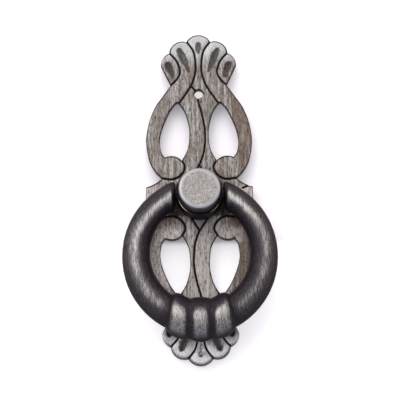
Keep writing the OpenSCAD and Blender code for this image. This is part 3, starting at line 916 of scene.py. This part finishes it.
def boss_paint(tree, finish):
    """A stippled light face with a polished rim, and sides painted black as shade and patina."""
    spots = grain(tree, (0.45, 0.45, 0.5), 4.0, 0.8)
    cloud = grain(tree, (3, 3, 3), 2.0)
    stipple = attribute(tree, "stipple")
    face = spots.ramp(0.38, 0.62, 0.1, 1.0).blend(finish.pewter_light, finish.pewter_mid)
    face = cloud.ramp(0.35, 0.65, 0.05, 0.3).blend(face, finish.pewter_mid)
    base = layered(finish.pewter_rim, [
        (stipple, face),
        (attribute(tree, "patina_and_shade"), finish.blued_and_shade),
        (attribute(tree, "glint") * cloud.ramp(0.35, 0.5), finish.brass),
    ])
    return base, stipple.ramp(0.0, 1.0, 0.42, 0.5), spots * stipple


def ring_paint(tree, finish):
    """Gunmetal, bare along the crest as wear and painted highlight, in fine streaks that run up and down."""
    fine = grain(tree, (0.3, 0.45, 3.6), 4.0, 0.7)
    patches = grain(tree, (1.6, 2, 7), 2.0).ramp(0.3, 0.7, 0.87, 1.13)
    pitted = grain(tree, (0.4, 0.4, 0.4), 3.0, 0.7).ramp(0.35, 0.6, 0.72, 1.14)
    uneven = fine.ramp(0.3, 0.7, 0.4, 1.6) * patches * pitted
    # Bare metal and painted highlight along the crest
    bare_and_highlight = attribute(tree, "crest") * uneven + fine.ramp(0.45, 0.7, 0.0, 0.09)
    across = coordinate(tree, "Object", "X")
    base = layered(finish.gunmetal, [
        (bare_and_highlight * 2.4, finish.steel),
        ((bare_and_highlight - 0.3) * 1.3, across.ramp(12 * MM, 22 * MM).blend(finish.worn, finish.worn_warm)),
    ])
    return base, fine.ramp(0.3, 0.7, 0.36, 0.48), fine


def stage_material(stage):
    """Matt white that can't be seen from behind. Camera and gloss see it lifted to white, more so from the
    lower windows down, and most in a spot behind the upper pin hole."""
    above, below, in_spot = 0.13, 0.42, 0.5
    material = bpy.data.materials.new("backdrop_white")
    material.use_nodes = True
    tree = material.node_tree
    tree.nodes.clear()
    where = node(tree, "ShaderNodeTexCoord", output="Object")
    spot = (0, stage.wall_gap, 38.6 * MM)
    away = node(tree, "ShaderNodeVectorMath", {0: where, 1: spot}, "Value", operation="DISTANCE")
    # Painted light: the glow rises from the lower windows down and in a spot behind the upper pin hole,
    # lightening the shadows there
    lift = coordinate(tree, "Object", "Z").ramp(-14.6 * MM, -16.8 * MM, above, below)
    lift = lift + away.ramp(3 * MM, 2.4 * MM, 0.0, in_spot)
    seen = node(tree, "ShaderNodeLightPath", output="Is Camera Ray")
    seen = seen.most(node(tree, "ShaderNodeLightPath", output="Is Glossy Ray"))
    matt = node(tree, "ShaderNodeBsdfDiffuse", {"Color": (*stage.wall, 1)})
    glow = node(tree, "ShaderNodeEmission", {"Strength": seen * lift})
    lit = node(tree, "ShaderNodeAddShader", {0: matt, 1: glow})
    clear = node(tree, "ShaderNodeBsdfTransparent")
    behind = node(tree, "ShaderNodeNewGeometry", output="Backfacing")
    both = node(tree, "ShaderNodeMixShader", {0: behind, 1: lit, 2: clear})
    node(tree, "ShaderNodeOutputMaterial", {"Surface": both})
    return material


def backdrop_mesh(wall_y):
    """A profile carried along X: a wall just behind the part, a round cove and a floor towards the camera."""
    top, floor_z, cove, front, half = 1.5, -0.5, 0.2, -2.5, 2.0
    turn = np.linspace(0, np.pi / 2, 13)
    profile = np.vstack([
        [(wall_y, top)],
        np.column_stack([wall_y - cove * (1 - np.cos(turn)), floor_z + cove * (1 - np.sin(turn))]),
        [(front, floor_z)],
    ])
    count = len(profile)
    left = np.column_stack([np.full(count, -half), profile])
    right = left * [-1, 1, 1]
    name = np.arange(count)
    quads = np.column_stack([name[:-1], name[1:], name[1:] + count, name[:-1] + count])
    return fill_mesh("backdrop", np.vstack([left, right]), quads.ravel(), np.full(count - 1, 4), {})


def add_lamp(name, power, place, size, tint, glossy):
    """A square soft lamp that points at the part and isn't seen itself."""
    data = bpy.data.lights.new(name, "AREA")
    data.size = size
    data.energy = power
    data.color = tint
    lamp = put(name, data)
    lamp.location = place
    lamp.rotation_mode = "QUATERNION"
    lamp.rotation_quaternion = (-Vector(place)).to_track_quat("-Z", "Y")
    lamp.visible_camera = False
    lamp.visible_glossy = glossy


def add_world():
    """Soft light all round, stronger from above and from the left and cooler from below, on a white
    background."""
    white, cool = (1, 1, 1), (0.94, 0.95, 1.11)
    world = bpy.data.worlds.new("studio")
    bpy.context.scene.world = world
    world.use_nodes = True
    tree = world.node_tree
    tree.nodes.clear()
    across, up = (coordinate(tree, "Generated", axis) for axis in "XZ")
    soft = up.ramp(-0.6, 1.0, 0.65, 1.3) * across.ramp(-0.8, 0.8, 1.05, 0.85)
    camera = node(tree, "ShaderNodeLightPath", output="Is Camera Ray")
    strength = node(tree, "ShaderNodeMix", {0: camera, 2: soft, 3: 1.0})
    tint = camera.blend(up.ramp(-0.8, 0.0).blend(cool, white), white)
    glow = node(tree, "ShaderNodeBackground", {"Color": tint, "Strength": strength})
    node(tree, "ShaderNodeOutputWorld", {"Surface": glow})


def add_camera(stage):
    """The photograph's camera: in front of the part and below it, looking up."""
    data = bpy.data.cameras.new("camera")
    data.lens = stage.lens
    data.clip_start = 0.05
    camera = put("camera", data)
    bpy.context.scene.camera = camera
    aim = Vector((0.15, -3.0, -0.93)) * MM
    camera.matrix_world = (Matrix.Translation(aim) @ Matrix.Rotation(math.pi / 2 + stage.camera_drop, 4, "X")
                           @ Matrix.Rotation(stage.camera_roll, 4, "Z")
                           @ Matrix.Translation((0, 0, stage.camera_distance)))


class RINGPULL_OT_backplate(bpy.types.Operator):
    """Builds the pierced and engraved backplate"""

    bl_idname = "ring_pull.backplate"
    bl_label = "Backplate"

    def execute(self, context):
        finish = context.scene.ring_pull_finishes
        material = metal("brushed_pewter", plate_paint, finish, gloss=(0.8, 0.8, 0.8))
        dress("backplate", backplate_mesh(context.scene.ring_pull_plate), material)
        return {"FINISHED"}


class RINGPULL_OT_boss(bpy.types.Operator):
    """Builds the turned boss"""

    bl_idname = "ring_pull.boss"
    bl_label = "Boss"

    def execute(self, context):
        finish = context.scene.ring_pull_finishes
        material = metal("stippled_pewter", boss_paint, finish, gloss=(0.75, 0.68, 0.76))
        dress("boss", boss_mesh(context.scene.ring_pull_boss), material)
        return {"FINISHED"}


class RINGPULL_OT_ring(bpy.types.Operator):
    """Builds the ring with its beads and pegs"""

    bl_idname = "ring_pull.ring"
    bl_label = "Ring"

    def execute(self, context):
        finish = context.scene.ring_pull_finishes
        material = metal("worn_gunmetal", ring_paint, finish, gloss=(0.5, 0.44, 0.47))
        dress("ring", ring_mesh(context.scene.ring_pull_ring), material)
        return {"FINISHED"}


class RINGPULL_OT_stage(bpy.types.Operator):
    """Builds the wall, the floor, the lamps and the camera"""

    bl_idname = "ring_pull.stage"
    bl_label = "Stage"

    def execute(self, context):
        stage = context.scene.ring_pull_stage
        mesh = backdrop_mesh(stage.wall_gap)
        mesh.materials.append(stage_material(stage))
        backdrop = put("backdrop", mesh)
        backdrop.visible_diffuse = backdrop.visible_glossy = backdrop.visible_shadow = False
        add_lamp("key_lamp", stage.key_power, place=(-0.08, -0.45, 0.85), size=1.1, tint=(1.0, 0.98, 0.96),
                 glossy=False)
        add_lamp("fill_lamp", stage.fill_power, place=(-0.5, -0.75, 0.15), size=0.5, tint=(0.96, 0.97, 1.0),
                 glossy=True)
        add_world()
        add_camera(stage)
        context.scene.view_settings.view_transform = "Standard"
        return {"FINISHED"}


class RINGPULL_PT_panel(bpy.types.Panel):
    """Lists the pieces of the ring pull"""

    bl_idname = "RINGPULL_PT_panel"
    bl_label = "Ring Pull"
    bl_space_type = "VIEW_3D"
    bl_region_type = "UI"
    bl_category = "Ring Pull"

    def draw(self, context):
        for operator in OPERATORS:
            self.layout.operator(operator.bl_idname)
        for name in SETTINGS:
            settings = getattr(context.scene, name)
            box = self.layout.box()
            for key in settings.__annotations__:
                box.prop(settings, key)


SETTINGS = {
    "ring_pull_plate": PlateSizes,
    "ring_pull_boss": BossSizes,
    "ring_pull_ring": RingSizes,
    "ring_pull_finishes": Finishes,
    "ring_pull_stage": StageSettings,
}
OPERATORS = (RINGPULL_OT_backplate, RINGPULL_OT_boss, RINGPULL_OT_ring, RINGPULL_OT_stage)


def register():
    """Adds the settings, the operators and the panel."""
    for name, kind in SETTINGS.items():
        bpy.utils.register_class(kind)
        setattr(bpy.types.Scene, name, PointerProperty(type=kind))
    for kind in (*OPERATORS, RINGPULL_PT_panel):
        bpy.utils.register_class(kind)


def unregister():
    """Takes them away again."""
    for kind in (RINGPULL_PT_panel, *reversed(OPERATORS)):
        bpy.utils.unregister_class(kind)
    for name, kind in reversed(SETTINGS.items()):
        delattr(bpy.types.Scene, name)
        bpy.utils.unregister_class(kind)


def main():
    """Builds everything."""
    register()
    bpy.ops.ring_pull.backplate()
    bpy.ops.ring_pull.boss()
    bpy.ops.ring_pull.ring()
    bpy.ops.ring_pull.stage()


if __name__ == "__main__":
    main()
